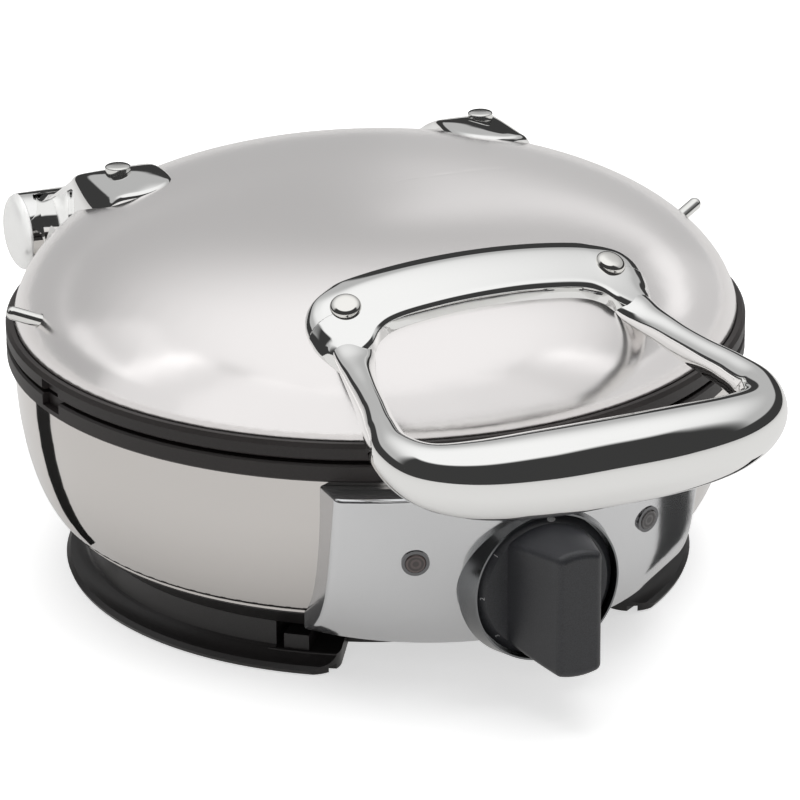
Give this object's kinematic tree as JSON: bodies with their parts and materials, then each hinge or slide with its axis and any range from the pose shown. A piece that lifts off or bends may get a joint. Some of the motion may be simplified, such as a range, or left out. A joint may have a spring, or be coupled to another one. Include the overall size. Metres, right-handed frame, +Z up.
{
  "type": "round waffle maker",
  "caption": "Round countertop waffle maker: polished bowl and hinged domed lid on a black base with a cord-wrap neck, cast loop handle, control panel with a dial and two lights.",
  "frame": {"origin": "centre of the footprint of the whole object, on the surface it stands on", "axes": "+Z up, -Y towards the front with the handle and the dial, +X to the right seen from the front"},
  "size_m": [0.3032, 0.4082, 0.1562],
  "materials": {
    "polished_dome": "polished stainless steel, softly buffed",
    "polished_bowl": "polished stainless steel",
    "polished_cast": "cast and mirror polished",
    "polished_steel": "mirror polished",
    "satin_metal": "satin grey metal",
    "panel_silver": "satin silver",
    "dark_chrome": "dark polished ring",
    "black_trim": "matte black, fine grain",
    "black_base": "semi-matte black",
    "knob_plastic": "satin charcoal",
    "white_mark": "printed white",
    "dark_lens": "smoked translucent",
    "white_nylon": "natural nylon",
    "foot_rubber": "matte",
    "nonstick_plate": "cast, dark non-stick coating",
    "shield_steel": "mill finish",
    "element_steel": "heat-dulled sheath",
    "plain_steel": "zinc plated",
    "brown_switch": "moulded thermoset",
    "lead_sleeve": "woven silicone sleeve"
  },
  "bodies": {
    "base": {"base_skirt": "black_base", "bottom_cover": "black_base", "bowl_shell": "polished_bowl", "control_panel": "panel_silver", "cord_clips": "black_base", "cord_inlet_bush": "foot_rubber", "cover_screws": "plain_steel", "hinge_barrel": "polished_cast", "hinge_bracket": "black_base", "hinge_bracket_screws": "plain_steel", "hinge_bushes": "white_nylon", "hinge_shaft": "plain_steel", "hinge_washers": "black_trim", "internal_leads": "lead_sleeve", "knob_bezel": "satin_metal", "lamp_holders": "white_nylon", "lens_rings": "dark_chrome", "lower_element_clips": "plain_steel", "lower_heat_shield": "shield_steel", "lower_heating_element": "element_steel", "lower_plate_screws": "plain_steel", "lower_ring_screws": "plain_steel", "lower_trim_ring": "black_trim", "lower_waffle_plate": "nonstick_plate", "power_lens": "dark_lens", "ready_lens": "dark_lens", "rubber_feet": "foot_rubber", "temperature_sensor": "plain_steel", "terminal_block": "white_nylon", "thermostat_nut": "plain_steel", "thermostat_spacer": "plain_steel", "thermostat_switch": "brown_switch"},
    "lid": {"upper_trim_ring": "black_trim", "dome_shell": "polished_dome", "upper_heat_shield": "shield_steel", "upper_waffle_plate": "nonstick_plate", "upper_heating_element": "element_steel", "upper_element_clips": "plain_steel", "upper_plate_screws": "plain_steel", "upper_ring_screws": "plain_steel", "thermal_fuse": "plain_steel", "handle": "polished_cast", "handle_backing_plate": "plain_steel", "handle_rivets": "polished_steel", "hinge_arm_left": "polished_cast", "hinge_arm_right": "polished_cast", "hinge_cap_left": "polished_cast", "hinge_cap_right": "polished_cast", "arm_rivets": "polished_steel", "arm_backing_plates": "plain_steel", "side_pin_left": "polished_steel", "side_pin_right": "polished_steel"},
    "knob": {"dial_knob": "knob_plastic", "dial_dot": "white_mark", "control_shaft": "plain_steel"}
  },
  "joints": [
    {"name": "lid_hinge", "type": "hinge", "parent": "base", "child": "lid", "pos_m": [0, 0.1875, 0.096], "axis": [-1, 0, 0], "range_deg": [0, 95]},
    {"name": "dial_turn", "type": "hinge", "parent": "base", "child": "knob", "pos_m": [0, -0.1385, 0.047], "axis": [0, 1, 0], "range_deg": [0, 270]}
  ]
}
